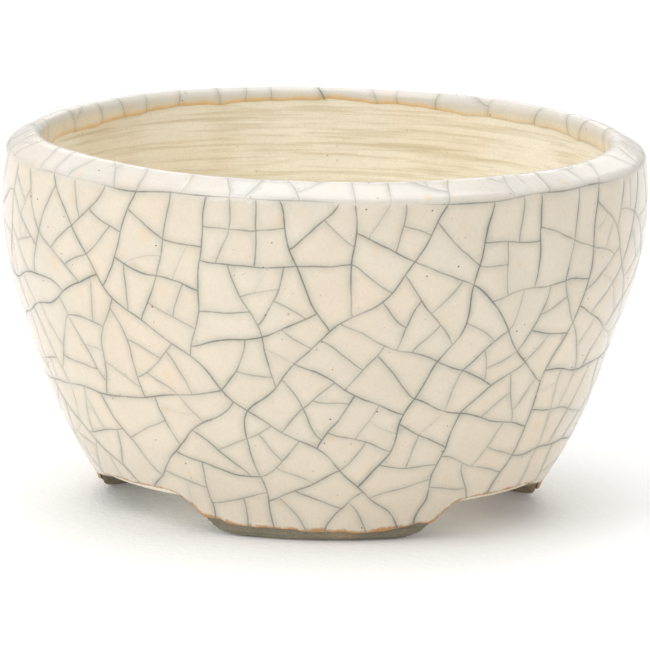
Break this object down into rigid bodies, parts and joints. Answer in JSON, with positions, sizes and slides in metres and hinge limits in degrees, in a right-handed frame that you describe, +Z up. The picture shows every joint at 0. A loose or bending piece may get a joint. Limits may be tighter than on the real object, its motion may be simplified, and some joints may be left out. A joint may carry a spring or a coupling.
{
  "type": "bonsai pot",
  "caption": "Small round thrown bowl on short cut feet, with a sloping lip, cream crackle glaze outside and over the lip, bare clay inside and a drain hole.",
  "frame": {"origin": "on the pot's axis, in the plane that its feet stand on", "axes": "+Z up the axis, -Y towards the front foot, +X to the right seen from the front"},
  "size_m": [0.0746, 0.0746, 0.043],
  "materials": {
    "bare_clay": "unglazed buff stoneware, matt, with throwing lines",
    "foot_clay": "unglazed clay, grey-brown from standing and handling",
    "glaze": "cream glaze, satin gloss, with dark stained crackle lines"
  },
  "bodies": {
    "root": {"thrown_wall": "bare_clay", "base_slab": "bare_clay", "foot_front": "foot_clay", "foot_rear_right": "foot_clay", "foot_rear_left": "foot_clay", "crackle_glaze": "glaze"}
  },
  "joints": []
}
